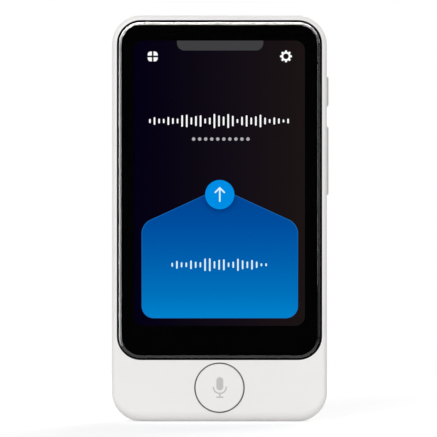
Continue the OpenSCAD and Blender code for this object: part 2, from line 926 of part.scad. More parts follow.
module battery_lead() {
    strip_h = 1.8;
    strip_t = 1.6;
    strip_in = 5;
    strip_x = battery_w / 2 - strip_in;
    low_y = connector_y - flex_t;
    color("goldenrod") {
        box([-strip_x, strip_x], [low_y, low_y + strip_t], [battery_top, battery_top + strip_h]);
        box([battery_ribbon_x - battery_ribbon_w / 2, battery_ribbon_x + battery_ribbon_w / 2 - 1],
            [low_y, connector_y], [battery_top + strip_h / 2, connector_low + connector_h]);
    }
}

module battery_tape() {
    gap = 1.5;
    color("khaki") both_sides()
        box([display_ribbon_w / 2 + gap, battery_w / 2 - gap], [frame_back_y, battery_y],
            [battery_low + 2 * gap, battery_top - 2 * gap]);
}

// ---- Talk button ----

module translate_button() {
    edge = 0.15;
    r = button_d / 2;
    stem_r = button_stem_d / 2;
    back = button_flange_y + button_flange_t;
    color("whitesmoke") translate([0, 0, button_z]) {
        rotate([90, 0, 0]) rotate_extrude() polygon([
            [0, -face_y], [r - edge, -face_y], [r, -face_y - edge],
            [r, -button_flange_y], [r + button_flange, -button_flange_y],
            [r + button_flange, -back], [stem_r, -back], [stem_r, -button_stem_y], [0, -button_stem_y]
        ]);
        along_y(button_flange_y, back)
            square([button_d + 2 * (button_flange + button_ear_l), button_ear_w], center = true);
    }
}

module button_switch() {
    base_t = (button_flex_y - button_dome_y) / 2;
    color("silver") translate([0, 0, button_z]) {
        along_y(button_dome_y + base_t, button_flex_y) square(button_switch_w, center = true);
        along_y(button_dome_y, button_dome_y + base_t) circle(d = button_switch_w - 1);
    }
}

module button_flex() {
    path = [
        [-button_switch_w / 2 - 0.5, frame_y - flex_t / 2],
        [button_ribbon_x - 0.6, frame_y - flex_t / 2],
        [button_ribbon_x + 0.2, frame_back_y],
        [button_ribbon_x + 0.9, connector_y - flex_t / 2],
        [button_plug_x + connector_h / 2, connector_y - flex_t / 2]
    ];
    color("goldenrod") along_z(button_z - button_ribbon_w / 2, button_z + button_ribbon_w / 2)
        ribbon(path, flex_t);
}

// ---- Side keys ----

// A key in its slot: crowned cap, flange behind the wall and a nub for each switch
module side_key(z, l, nubs) {
    flange_back = key_flange_x - key_flange_t;
    cap_x = side_x + key_proud;
    translate([0, side_y, z]) {
        along_x(flange_back, key_flange_x)
            pill(key_w + 2 * key_flange_w, l + 2 * key_flange_over);
        along_x(key_flange_x - 0.1, cap_x - key_crown) pill(key_w, l);
        hull() {
            along_x(cap_x - key_crown - 0.1, cap_x - key_crown) pill(key_w, l, $fn = crown_fn);
            along_x(cap_x - 0.1, cap_x - key_crown * 0.4)
                pill(key_w - key_crown / 2, l - key_crown / 2, $fn = crown_fn);
            along_x(cap_x - 0.1, cap_x)
                pill(key_w - 2 * key_crown, l - 2 * key_crown, $fn = crown_fn);
        }
        for (n = nubs)
            along_x(key_nub_x, flange_back + 0.1)
                translate([0, n]) square(key_nub_w, center = true);
    }
}

module power_key() {
    color("gainsboro") side_key(power_z, power_key_l, [0]);
}

module volume_rocker() {
    color("gainsboro") side_key(volume_z, volume_key_l, [-rocker_reach, rocker_reach]);
}

module side_key_switches() {
    color("silver") for (z = key_switch_z)
        translate([0, side_y, z]) {
            along_x(key_flex_x, key_flex_x + key_switch_t / 2)
                square([key_switch_w, key_switch_l], center = true);
            along_x(key_flex_x + key_switch_t / 2, key_switch_x)
                circle(d = key_switch_w - 0.4);
        }
}

module side_key_flex() {
    half = key_switch_w / 2;
    color("goldenrod") {
        box([bracket_x, key_flex_x], [side_y - half, side_y + half],
            [key_switch_z[1] - key_switch_l, key_switch_z[0] + key_switch_l]);
        box([key_ribbon_x - key_ribbon_w / 2, key_flex_x], [connector_y - flex_t, connector_y],
            [key_plug_low, key_plug_low + connector_h]);
    }
}

module side_key_bracket() {
    foot = 2;
    back = board_y - bracket_gap;
    color("lightgray") difference() {
        union() {
            box([bracket_x - bracket_t, bracket_x], [frame_back_y, back],
                [key_bay_low + bracket_end, key_bay_top - bracket_end]);
            box([bracket_x - bracket_t - foot, bracket_x], [frame_back_y, frame_back_y + bracket_t],
                [key_bay_low + bracket_end, main_board_low - bracket_t]);
        }
        box([bracket_x - foot - 1, side_x], [connector_y - flex_t - bracket_cut, back + 1],
            [key_plug_low - bracket_cut, key_plug_low + connector_h + bracket_cut]);
    }
}

// ---- Card tray ----

module card_outline(grow) {
    l = card_l + 2 * grow;
    w = card_w + 2 * grow;
    polygon([
        [-l / 2, -w / 2], [l / 2 - card_cut, -w / 2], [l / 2, -w / 2 + card_cut],
        [l / 2, w / 2], [-l / 2, w / 2]
    ]);
}

module sim_tray() {
    face_x = -side_x + tray_face_t;
    low = side_y - tray_blade_t / 2;
    ledge = 0.12;
    color("gainsboro") difference() {
        union() {
            along_x(-side_x, face_x)
                translate([side_y, tray_z]) pill(tray_face_w, tray_face_l);
            box([face_x - 0.1, face_x + tray_blade_l], [low, low + tray_blade_t],
                [tray_blade_z - tray_blade_w / 2, tray_blade_z + tray_blade_w / 2]);
        }
        along_y(low + ledge, low + tray_blade_t + 1)
            translate([card_x, tray_blade_z]) card_outline(card_gap);
        along_y(low - 1, low + tray_blade_t + 1)
            translate([card_x, tray_blade_z]) square([card_l - 2, card_w - 2], center = true);
        along_x(-side_x - 1, face_x + 1)
            translate([side_y, tray_pin_z]) circle(d = eject_hole_d);
    }
}

module sim_card() {
    low = side_y - tray_blade_t / 2 + 0.12;
    color("gold") along_y(low, low + card_t) translate([card_x, tray_blade_z]) card_outline(0);
}

module sim_socket() {
    room_z = tray_blade_w / 2 + tray_gap;
    room_y = tray_blade_t / 2 + tray_gap;
    color("silver") difference() {
        box([-cage_x, cage_end_x], [cage_y, board_y],
            [tray_blade_z - room_z - cage_t, cage_top]);
        box([-cage_x - 1, -cage_x + cage_l], [side_y - room_y, side_y + room_y],
            [tray_blade_z - room_z, tray_blade_z + room_z]);
        along_x(-cage_x - 1, -cage_x + 8)
            translate([side_y, tray_pin_z]) circle(d = eject_hole_d);
    }
}

// ---- Charging socket ----

module port_outline(inset) {
    rotate(90) pill(port_h - 2 * inset, port_w - 2 * inset);
}

module usb_shell() {
    color("silver") along_z(port_low, port_low + port_l) translate([0, port_y]) difference() {
        port_outline(0);
        port_outline(port_t);
    }
}

module usb_tongue() {
    top = port_low + port_l;
    fit = 0.02;
    color("black") translate([0, port_y]) {
        along_z(port_low + tongue_lift, top - tongue_base / 2)
            square([tongue_w, tongue_t], center = true);
        along_z(top - tongue_base, top) port_outline(port_t + fit);
    }
}

// ---- Camera and flash ----

module camera_module() {
    base_y = frame_back_y + cradle_h;
    color("black") {
        along_y(base_y, base_y + camera_base_t) translate([camera_x, camera_z])
            square(camera_w, center = true);
        difference() {
            rod_y(camera_x, camera_z, camera_barrel_d, base_y, camera_top_y);
            rod_y(camera_x, camera_z, lens_d + 2 * lens_fit, camera_top_y - lens_seat, rear_in_y);
        }
    }
}

module camera_lens() {
    h = lens_seat + lens_crown;
    ball = (pow(lens_d / 2 + lens_rim, 2) + pow(h, 2)) / (2 * h);
    color("indigo") intersection() {
        rod_y(camera_x, camera_z, lens_d, camera_top_y - lens_seat, rear_in_y + 1);
        translate([camera_x, camera_top_y + lens_crown - ball, camera_z]) sphere(ball);
    }
}

module camera_ring() {
    color("silver") difference() {
        union() {
            rod_y(camera_x, camera_z, ring_barrel_d, rear_in_y, back_y);
            rod_y(camera_x, camera_z, ring_d, back_y - ring_t, back_y);
        }
        rod_y(camera_x, camera_z, camera_window_d + 2 * ring_fit, back_y - window_sink - window_t, back_y + 1);
        rod_y(camera_x, camera_z, camera_window_d - 2 * window_seat, rear_in_y - 1, back_y);
    }
}

module camera_window() {
    color("black")
        rod_y(camera_x, camera_z, camera_window_d, back_y - window_sink - window_t, back_y - window_sink);
}

module flash_lens() {
    color("ivory") {
        rod_y(flash_x, camera_z, flash_d, rear_in_y, back_y);
        rod_y(flash_x, camera_z, flash_stem_d, board_back_y + flash_led_t + flash_air, rear_in_y + 0.1);
    }
}

module flash_led() {
    color("yellow") along_y(board_back_y, board_back_y + flash_led_t)
        translate([flash_x, camera_z]) square(flash_led_w, center = true);
}

// ---- Sound ----

module speaker() {
    color("dimgray") translate([0, 0, speaker_z]) difference() {
        along_y(board_back_y, speaker_back_y) rounded(speaker_w, speaker_h, speaker_r);
        along_y(speaker_back_y - speaker_dish, speaker_back_y + 1)
            rounded(speaker_w - 2 * speaker_rim, speaker_h - 2 * speaker_rim, speaker_r);
    }
}

module speaker_gasket() {
    color("black") translate([0, 0, speaker_z])
        along_y(speaker_back_y, rear_in_y - mesh_t) difference() {
            rounded(speaker_w, speaker_h, speaker_r);
            rounded(speaker_w - 2 * speaker_rim, speaker_h - 2 * speaker_rim, speaker_r);
        }
}

module speaker_mesh() {
    color("gray") translate([0, 0, speaker_z])
        along_y(rear_in_y - mesh_t, rear_in_y) rounded(speaker_w - 1, speaker_h - 1, speaker_r);
}

module microphones() {
    color("silver") {
        box([low_mic_x - mic_w / 2, low_mic_x + mic_w / 2], [board_y - mic_t, board_y],
            [lower_board_low + 0.2, lower_board_low + 0.2 + mic_h]);
        box([top_mic_x - mic_w / 2, top_mic_x + mic_w / 2], [board_y - mic_t, board_y],
            [main_board_top - 0.2 - mic_h, main_board_top - 0.2]);
    }
}

module antennas() {
    w = 4;
    out = cavity_x - 5.25;
    top = main_board_top - 4;
    low = low_edge_r + 4.6;
    color("darkgoldenrod") along_y(rear_in_y - film_t, rear_in_y) {
        area([-out, -w], [top - w, top]);
        area([-out, -out + w], [top - 5 * w, top]);
        both_sides() area([speaker_w / 2 + w, out - 1], [low, low + w]);
    }
}

front_housing();
rear_cover();
cover_glass();
glass_gasket();
bond_film();
lcd_panel();
backlight();
display_flex();
mid_frame();
frame_screw_set();  // frame_screws
main_board();
main_chips();
shield_cans();
heat_sheet();
board_connectors();
board_screw_set();  // board_screws
lower_board();
link_flex();
battery();
battery_lead();
battery_tape();
translate_button();
button_switch();
button_flex();
power_key();
volume_rocker();
side_key_switches();
side_key_flex();
side_key_bracket();
sim_tray();
sim_card();
sim_socket();
usb_shell();
usb_tongue();
camera_module();
camera_lens();
camera_ring();
camera_window();
flash_lens();
flash_led();
speaker();
speaker_gasket();
speaker_mesh();
microphones();
antennas();
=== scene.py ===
"""Looks of the handheld translator: white moulded housing, curved glass, lit touch screen.

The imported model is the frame. Housings and keys are smoothly shaded copies of their solids, the
ground glass, the screen's picture and the small printed and plated things are pieces of their
own, and every other solid keeps its shape and gets its finish. Lengths are in metres.
"""
from math import cos, pi, radians, sin

import bmesh
import bpy
from mathutils import Euler, Matrix, Vector
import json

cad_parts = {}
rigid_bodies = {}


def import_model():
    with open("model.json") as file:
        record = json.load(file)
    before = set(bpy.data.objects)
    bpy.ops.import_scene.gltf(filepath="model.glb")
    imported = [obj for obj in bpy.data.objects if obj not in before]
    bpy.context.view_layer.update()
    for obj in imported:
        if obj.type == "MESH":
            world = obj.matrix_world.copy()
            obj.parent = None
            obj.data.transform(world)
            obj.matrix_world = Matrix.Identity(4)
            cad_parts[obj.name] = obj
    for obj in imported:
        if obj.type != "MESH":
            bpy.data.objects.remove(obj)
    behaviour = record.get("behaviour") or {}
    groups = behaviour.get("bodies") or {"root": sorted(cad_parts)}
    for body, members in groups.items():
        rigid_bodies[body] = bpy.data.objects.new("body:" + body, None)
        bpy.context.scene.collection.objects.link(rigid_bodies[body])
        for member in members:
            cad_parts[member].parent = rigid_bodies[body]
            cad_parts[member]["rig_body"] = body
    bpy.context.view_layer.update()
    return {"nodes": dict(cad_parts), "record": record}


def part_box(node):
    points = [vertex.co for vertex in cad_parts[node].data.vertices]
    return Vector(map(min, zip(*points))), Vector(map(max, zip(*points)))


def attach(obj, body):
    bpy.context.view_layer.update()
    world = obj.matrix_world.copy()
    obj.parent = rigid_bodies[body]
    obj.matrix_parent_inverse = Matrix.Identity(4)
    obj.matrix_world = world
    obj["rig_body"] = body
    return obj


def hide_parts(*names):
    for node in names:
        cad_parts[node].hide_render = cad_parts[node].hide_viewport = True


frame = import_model()
MM = 0.001


def middle_of(node):
    """The middle of a node's box."""
    low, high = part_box(node)
    return (low + high) / 2


# ---------------------------------------------------------------- node helpers

def add(tree, kind, **settings):
    """One shader node, with its properties set."""
    made = tree.nodes.new("ShaderNode" + kind)
    for name, value in settings.items():
        setattr(made, name, value)
    return made


def feed(tree, value, socket):
    """A socket, or a plain number, vector or colour, into a node's input."""
    if isinstance(value, bpy.types.NodeSocket):
        tree.links.new(value, socket)
    else:
        socket.default_value = value


def fill(tree, node, **values):
    """Feeds inputs by name, with _ for a blank; gives the node's outputs."""
    for name, value in values.items():
        feed(tree, value, node.inputs[name.replace("_", " ")])
    return node.outputs


def math(tree, operation, first, second=None, clamp=False):
    """A Math node on sockets or plain numbers; gives its output."""
    made = add(tree, "Math", operation=operation, use_clamp=clamp)
    for value, socket in zip((first, second), made.inputs):
        if value is not None:
            feed(tree, value, socket)
    return made.outputs[0]


def mix(tree, factor, first, second):
    """A colour mix of sockets or plain colours; gives its output."""
    return fill(tree, add(tree, "Mix", data_type="RGBA"), Factor=factor, A=first, B=second)["Result"]


def remap(tree, value, low, high, to_low=0.0, to_high=1.0):
    """A Map Range of a socket; gives its output."""
    made = add(tree, "MapRange")
    for number, socket in zip((value, low, high, to_low, to_high), made.inputs):
        feed(tree, number, socket)
    return made.outputs[0]


def noise(tree, place, scale, detail=2.0, rough=0.5):
    """Noise on a vector socket; gives its value."""
    return fill(tree, add(tree, "TexNoise"), Vector=place, Scale=scale, Detail=detail,
                Roughness=rough)["Fac"]


def axes(tree, place):
    """A vector socket's parts; gives its outputs X, Y and Z."""
    return fill(tree, add(tree, "SeparateXYZ"), Vector=place)


def stretch(tree, place, scale, centre=(0, 0, 0)):
    """The place less a centre, times a scale for each axis."""
    moved = add(tree, "VectorMath", operation="SUBTRACT")
    scaled = add(tree, "VectorMath", operation="MULTIPLY")
    for node, first, second in ((moved, place, centre), (scaled, moved.outputs[0], scale)):
        feed(tree, first, node.inputs[0])
        feed(tree, second, node.inputs[1])
    return scaled.outputs[0]


def distance(tree, place):
    """How far a place is from the middle."""
    made = add(tree, "VectorMath", operation="LENGTH")
    tree.links.new(place, made.inputs[0])
    return made.outputs["Value"]


def new_group(name, inputs, outputs):
    """An empty effect with named sockets: (tree, its input sockets, its output node)."""
    tree = bpy.data.node_groups.new(name, "ShaderNodeTree")
    for label, kind, value in inputs:
        socket = tree.interface.new_socket(name=label, in_out="INPUT", socket_type="NodeSocket" + kind)
        if value is not None:
            socket.default_value = value
    for label, kind in outputs:
        tree.interface.new_socket(name=label, in_out="OUTPUT", socket_type="NodeSocket" + kind)
    return tree, tree.nodes.new("NodeGroupInput").outputs, tree.nodes.new("NodeGroupOutput")


def use(tree, effect, **values):
    """An effect placed in a material, with its own values; gives its outputs."""
    return fill(tree, add(tree, "Group", node_tree=EFFECTS[effect]), **values)


def opaque(colour, gain=1.0):
    """A colour of three parts, made lighter or darker, with its alpha."""
    return tuple(min(part * gain, 1) for part in colour) + (1,)


# ---------------------------------------------------------------- camera and studio

PHOTO_PIXELS = 437
PHOTO_SCALE = 0.3044 * MM
LENS = 300
SENSOR = 36
LOOK_AT = Vector((-0.3, 0, 61.9)) * MM

SOFT_BOXES = (("key_softbox", (-0.4, -1.0, 0.55), (0.6, 0.6), 6.95),
              ("fill_softbox", (0.6, -1.1, 0.3), (0.6, 0.6), 1.8),
              ("back_softbox", (0.5, 1.1, 0.6), (0.8, 0.8), 9.2))

# Two arcs of cards, for the steep rim and the shallow inside of the glass's ground edge: the tilt
# away from the camera, and the size. Then each pair's turn (0 at the top, 90 at the left) and glows.
CARD_MIDDLE = Vector((0, 0, 0.073))
CARD_REACH = 0.9
CARD_ARCS = ((61, (0.33, 0.293)), (40, (0.26, 0.36)))
CARD_GLOWS = ((-67.5, 2.2, 0.4), (-45, 7.6, 3.0), (-22.5, 14, 6.0), (0, 20, 8.4), (22.5, 17.4, 7.6),
              (45, 13.6, 6.2), (67.5, 11, 4.8), (90, 8.4, 2.7), (112.5, 5.5, 1.9), (135, 2.5, 1.2))

ROOM_LIGHT = (0.42, 0.42, 0.424, 1)
ROOM_MIRRORED = (0.008, 0.008, 0.008, 1)
FLOOR_RADIUS = 0.34
# The floor's own glow to the eye, to matt surfaces, and close by to polished ones
GLOW_TO_EYE, GLOW_TO_MATT, GLOW_TO_POLISH = 0.5, 0.13, 0.35


def hold_camera():
    """A long lens square to the glass, as the photograph was taken."""
    camera = bpy.data.cameras.new("photo_camera")
    camera.lens = LENS
    camera.sensor_width = SENSOR
    camera.clip_end = 20
    away = PHOTO_PIXELS * PHOTO_SCALE * LENS / SENSOR
    holder = bpy.data.objects.new("photo_camera", camera)
    holder.location = LOOK_AT + Vector((0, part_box("front_housing")[0].y - away, 0))
    holder.rotation_euler = (radians(90), 0, 0)
    bpy.context.scene.collection.objects.link(holder)
    bpy.context.scene.camera = holder


def hang_lamp(name, place, size, power):
    """One soft box of size (width, height), turned to face the part."""
    lamp = bpy.data.lights.new(name, "AREA")
    lamp.shape = "RECTANGLE"
    lamp.size, lamp.size_y = size
    lamp.energy = power
    holder = bpy.data.objects.new(name, lamp)
    holder.location = place
    holder.rotation_euler = (LOOK_AT - Vector(place)).to_track_quat("-Z", "Y").to_euler()
    holder.visible_camera = False
    bpy.context.scene.collection.objects.link(holder)
    return holder


def ring_with_cards(glass):
    """A ring of bright cards before the glass, which only its polish shows: white over the top,
    grey down the left, fading out on the right and round the lower left corner."""
    polish = bpy.data.collections.new("polish")
    polish.objects.link(glass)
    for turn, *glows in CARD_GLOWS:
        for (tilt, size), glow in zip(CARD_ARCS, glows):
            heading = Euler((radians(90 - tilt), radians(-turn), 0))
            place = CARD_MIDDLE + heading.to_matrix() @ Vector((0, 0, CARD_REACH))
            card = hang_lamp(f"card_{tilt}_{turn}", place, size, glow * pi * size[0] * size[1])
            card.rotation_euler = heading
            card.visible_diffuse = False
            card.visible_transmission = False
            card.light_linking.receiver_collection = polish


def light_room():
    """White backdrop for the eye and for glass and metal behind the part, dim room in front."""
    world = bpy.data.worlds.new("studio")
    bpy.context.scene.world = world
    world.use_nodes = True
    tree = world.node_tree
    tree.nodes.clear()
    ray = add(tree, "LightPath").outputs
    heading = axes(tree, add(tree, "TexCoord").outputs["Generated"])
    behind = remap(tree, heading["Y"], -0.92, -0.35)
    above = remap(tree, heading["Z"], -0.2, 0.0)
    mirrored = math(tree, "MAXIMUM", ray["Is Glossy Ray"], ray["Is Transmission Ray"])
    backdrop = math(tree, "MULTIPLY", mirrored, math(tree, "MULTIPLY", behind, above))
    white = math(tree, "MAXIMUM", ray["Is Camera Ray"], backdrop)
    room = mix(tree, mirrored, ROOM_LIGHT, ROOM_MIRRORED)
    light = fill(tree, add(tree, "Background"), Color=mix(tree, white, room, (1, 1, 1, 1)))
    tree.links.new(light[0], add(tree, "OutputWorld").inputs[0])


def lay_floor():
    """A pale round of board under the part, which keeps its shadow."""
    board = bmesh.new()
    bmesh.ops.create_circle(board, cap_ends=True, segments=96, radius=FLOOR_RADIUS)
    mesh = bpy.data.meshes.new("floor")
    board.to_mesh(mesh)
    board.free()
    floor = bpy.data.objects.new("floor", mesh)
    bpy.context.scene.collection.objects.link(floor)
    mesh.materials.append(pale_floor())


# ---------------------------------------------------------------- effects

def moulded_grain():
    """The fine spark-eroded skin of a moulding, and the slow drift of its tone."""
    tree, given, gives = new_group(
        "moulded_grain",
        [("Place", "Vector", None), ("Grain", "Float", 9000.0), ("Drift", "Float", 30.0)],
        [("Height", "Float"), ("Tone", "Float")])
    fill(tree, gives, Height=noise(tree, given["Place"], given["Grain"], 3, 0.6),
         Tone=noise(tree, given["Place"], given["Drift"], 2, 0.5))
    return tree


def edge_wear():
    """Where edges are, broken up as handling wears them."""
    tree, given, gives = new_group(
        "edge_wear",
        [("Place", "Vector", None), ("Width", "Float", 0.0002), ("Amount", "Float", 1.0)],
        [("Mask", "Float"), ("Normal", "Vector")])
    rounded = fill(tree, add(tree, "Bevel", samples=4), Radius=given["Width"])[0]
    turn = add(tree, "VectorMath", operation="DOT_PRODUCT")
    tree.links.new(rounded, turn.inputs[0])
    tree.links.new(add(tree, "NewGeometry").outputs["Normal"], turn.inputs[1])
    edge = remap(tree, turn.outputs["Value"], 0.995, 0.8)
    patchy = remap(tree, noise(tree, given["Place"], 900, 3), 0.35, 0.65, 0.3, 1.0)
    worn = math(tree, "MULTIPLY", edge, patchy)
    fill(tree, gives, Mask=math(tree, "MULTIPLY", worn, given["Amount"], clamp=True), Normal=rounded)
    return tree


def hand_smudges():
    """Where fingers have left a duller film on a polished face."""
    tree, given, gives = new_group(
        "hand_smudges",
        [("Place", "Vector", None), ("Size", "Float", 60.0), ("Amount", "Float", 1.0)],
        [("Mask", "Float")])
    film = remap(tree, noise(tree, given["Place"], given["Size"], 4, 0.65), 0.5, 0.75)
    fill(tree, gives, Mask=math(tree, "MULTIPLY", film, given["Amount"]))
    return tree


def drawn_metal():
    """Fine parallel lines of rolled or brushed metal, on a stretched place."""
    tree, given, gives = new_group(
        "drawn_metal",
        [("Place", "Vector", None), ("Lines", "Float", 1.0)],
        [("Height", "Float"), ("Shade", "Float")])
    lines = noise(tree, given["Place"], given["Lines"], 4, 0.6)
    fill(tree, gives, Height=lines, Shade=remap(tree, lines, 0.3, 0.7))
    return tree


def turned_rings():
    """The rings that a lathe tool leaves round the Y axis of a centred place."""
    tree, given, gives = new_group(
        "turned_rings",
        [("Place", "Vector", None), ("Rings", "Float", 9000.0)],
        [("Height", "Float")])
    reach = distance(tree, stretch(tree, given["Place"], (1, 0, 1)))
    fill(tree, gives, Height=math(tree, "SINE", math(tree, "MULTIPLY", reach, given["Rings"])))
    return tree


def board_copper():
    """Tracks, plated holes and ground copper under a board's mask."""
    tree, given, gives = new_group(
        "board_copper",
        [("Place", "Vector", None), ("Pitch", "Float", 700.0)],
        [("Tracks", "Float"), ("Holes", "Float")])
    cells = fill(tree, add(tree, "TexVoronoi", feature="F1", distance="CHEBYCHEV"),
                 Vector=given["Place"], Scale=given["Pitch"])
    bands = math(tree, "FRACT", math(tree, "MULTIPLY", cells["Distance"], 3.0))
    dots = fill(tree, add(tree, "TexVoronoi", feature="F1"), Vector=given["Place"],
                Scale=math(tree, "MULTIPLY", given["Pitch"], 0.8))
    fill(tree, gives, Tracks=remap(tree, bands, 0.55, 0.62),
         Holes=remap(tree, dots["Distance"], 0.16, 0.12))
    return tree


EFFECTS = {maker.__name__: maker() for maker in
           (moulded_grain, edge_wear, hand_smudges, drawn_metal, turned_rings, board_copper)}


# ---------------------------------------------------------------- finishes

BARE_GLASS_IOR = 1.66
COATED_GLASS_IOR = 1.08
WIRE_PITCH = 0.22 * MM


def new_finish(name, **sockets):
    """A material with a Principled shader: (material, tree, shader, object place)."""
    material = bpy.data.materials.new(name)
    material.use_nodes = True
    tree = material.node_tree
    shader = tree.nodes["Principled BSDF"]
    fill(tree, shader, **sockets)
    return material, tree, shader, add(tree, "TexCoord").outputs["Object"]


def raise_bump(tree, shader, height, strength, depth, normal=None):
    """A Bump of a height into the shader's normal."""
    bump = add(tree, "Bump")
    if normal is not None:
        tree.links.new(normal, bump.inputs["Normal"])
    fill(tree, shader, Normal=fill(tree, bump, Height=height, Strength=strength, Distance=depth)[0])


def moulded_plastic(name, colour, rough, grain=9000.0, depth=0.00001, wear=0.35, edge=0.00012):
    """Satin moulded plastic: fine grain, slow drift of tone, edges rubbed a little smoother."""
    material, tree, shader, place = new_finish(name, Roughness=rough, IOR=1.5)
    skin = use(tree, "moulded_grain", Place=place, Grain=grain, Drift=28.0)
    worn = use(tree, "edge_wear", Place=place, Width=edge, Amount=wear)
    body = mix(tree, remap(tree, skin["Tone"], 0.3, 0.7), opaque(colour), opaque(colour, 0.975))
    gloss = remap(tree, skin["Height"], 0.3, 0.7, rough - 0.05, rough + 0.06)
    rubbed = math(tree, "MULTIPLY", worn["Mask"], 0.15)
    fill(tree, shader, Base_Color=mix(tree, worn["Mask"], body, opaque(colour, 1.04)),
         Roughness=math(tree, "SUBTRACT", gloss, rubbed))
    raise_bump(tree, shader, skin["Height"], 0.35, depth, worn["Normal"])
    return material


def pale_floor():
    """White board: full white to the eye where it is lit, so only the shadow shows. On the left
    it lets mirrored rays through, to the lowest cards."""
    material, tree, shader, place = new_finish(
        "pale_floor", Roughness=0.9, Specular_IOR_Level=0.0, Emission_Color=(1, 1, 1, 1))
    ray = add(tree, "LightPath").outputs
    away = distance(tree, place)
    board = mix(tree, noise(tree, place, 400, 3), (0.64, 0.64, 0.64, 1), (0.68, 0.68, 0.68, 1))
    # Painted reflections: mirrored rays see the board darker further out and glowing close by. Matt
    # surfaces get a painted glow of bounce light from it.
    far = math(tree, "MULTIPLY", ray["Is Glossy Ray"], remap(tree, away, 0.06, 0.32))
    to_eye = math(tree, "MULTIPLY", ray["Is Camera Ray"], GLOW_TO_EYE)
    to_matt = math(tree, "MULTIPLY", ray["Is Diffuse Ray"], GLOW_TO_MATT)
    to_polish = math(tree, "MULTIPLY", ray["Is Glossy Ray"],
                     remap(tree, away, 0.05, 0.13, GLOW_TO_POLISH, 0.0))
    left = remap(tree, axes(tree, place)["X"], -0.035, -0.1)
    let_through = math(tree, "MULTIPLY", ray["Is Glossy Ray"], left)
    fill(tree, shader, Base_Color=mix(tree, far, board, (0.01, 0.01, 0.01, 1)),
         Emission_Strength=math(tree, "ADD", math(tree, "ADD", to_eye, to_matt), to_polish),
         Alpha=math(tree, "SUBTRACT", 1.0, let_through))
    return material


def clear_part(name, colour=(1, 1, 1, 1), ior=1.5, marks=300.0, dulled=0.05):
    """Polished glass or clear plastic, duller by a little where fingers have marked it."""
    polished = 0.01
    material, tree, shader, place = new_finish(
        name, Base_Color=colour, Roughness=polished, IOR=ior, Transmission_Weight=1.0)
    film = use(tree, "hand_smudges", Place=place, Size=marks, Amount=1.0)
    fill(tree, shader, Roughness=remap(tree, film["Mask"], 0, 1, polished, polished + dulled))
    return material


def cover_glass(name, ior):
    """Toughened glass with broad, faint finger marks."""
    return clear_part(name, ior=ior, marks=45.0, dulled=0.015)


def black_print():
    """Black ink fired on the back of a glass, with a faint mottle."""
    material, tree, shader, place = new_finish("glass_print", Roughness=0.6, Specular_IOR_Level=0.0)
    ink = noise(tree, place, 3000, 2)
    fill(tree, shader,
         Base_Color=mix(tree, ink, (0.0006, 0.0006, 0.0007, 1), (0.0012, 0.0012, 0.0013, 1)))
    return material


def as_light(red, green, blue):
    """A screen colour of 0 to 255 for each channel, as linear light."""
    def channel(value):
        value = value / 255
        return value / 12.92 if value <= 0.04045 else ((value + 0.055) / 1.055) ** 2.4
    return (channel(red), channel(green), channel(blue), 1)


def new_light(name):
    """A black finish that shows only its own light: (material, tree, shader, object place)."""
    return new_finish(name, Base_Color=(0, 0, 0, 1), Roughness=0.5, Specular_IOR_Level=0.0,
                      Emission_Strength=1.0)


def lit(name, colour):
    """A lit area of the screen of one colour, with the panel's own fine unevenness."""
    material, tree, shader, place = new_light(name)
    light = as_light(*colour)
    cells = noise(tree, place, 1200, 1)
    fill(tree, shader, Emission_Color=mix(tree, cells, light, opaque(light[:3], 0.97)))
    return material


def lit_ramp(name, axis, stops, shade=None):
    """A lit area whose colour changes along an axis; stops are (place in mm, colour).
    A shade is (x, z, near, far) in mm: a soft dark round drawn under a disc."""
    material, tree, shader, place = new_light(name)
    low, high = stops[0][0], stops[-1][0]
    ramp = add(tree, "ValToRGB")
    tree.links.new(remap(tree, axes(tree, place)[axis], low * MM, high * MM), ramp.inputs[0])
    points = ramp.color_ramp.elements
    while len(points) < len(stops):
        points.new(0.5)
    for point, (where, colour) in zip(points, stops):
        point.position = (where - low) / (high - low)
        point.color = as_light(*colour)
    light = ramp.outputs[0]
    if shade:
        x, z, near, far = (value * MM for value in shade)
        away = distance(tree, stretch(tree, place, (1, 0, 1), (x, 0, z)))
        light = mix(tree, remap(tree, away, near, far, 0.45, 0.0), light, as_light(0, 40, 100))
    fill(tree, shader, Emission_Color=light)
    return material


def metal(name, colour, rough, direction=(1, 1, 1), lines=4000.0, depth=0.000004, edge=0.00006):
    """Rolled, plated or machined metal with fine drawn lines along one direction."""
    material, tree, shader, place = new_finish(name, Metallic=1.0, Roughness=rough)
    drawn = use(tree, "drawn_metal", Place=stretch(tree, place, direction), Lines=lines)
    worn = use(tree, "edge_wear", Place=place, Width=edge, Amount=0.6)
    face = mix(tree, drawn["Shade"], opaque(colour, 0.86), opaque(colour))
    fill(tree, shader, Base_Color=mix(tree, worn["Mask"], face, opaque(colour, 1.15)),
         Roughness=remap(tree, drawn["Shade"], 0, 1, rough + 0.08, rough - 0.04))
    raise_bump(tree, shader, drawn["Height"], 0.3, depth, worn["Normal"])
    return material


def dull_sheet(name, colour, rough, grain=3000.0, depth=0.00001, spread=0.8, shine=0.5):
    """Rubber, foam, tape, film or graphite: a matt sheet with a mottled tone."""
    material, tree, shader, place = new_finish(name, Roughness=rough, Specular_IOR_Level=shine)
    skin = use(tree, "moulded_grain", Place=place, Grain=grain, Drift=200.0)
    tone = remap(tree, skin["Tone"], 0.25, 0.75)
    fill(tree, shader, Base_Color=mix(tree, tone, opaque(colour, spread), opaque(colour)),
         Roughness=remap(tree, skin["Height"], 0.3, 0.7, rough - 0.08, rough + 0.06))
    raise_bump(tree, shader, skin["Height"], 0.4, depth)
    return material


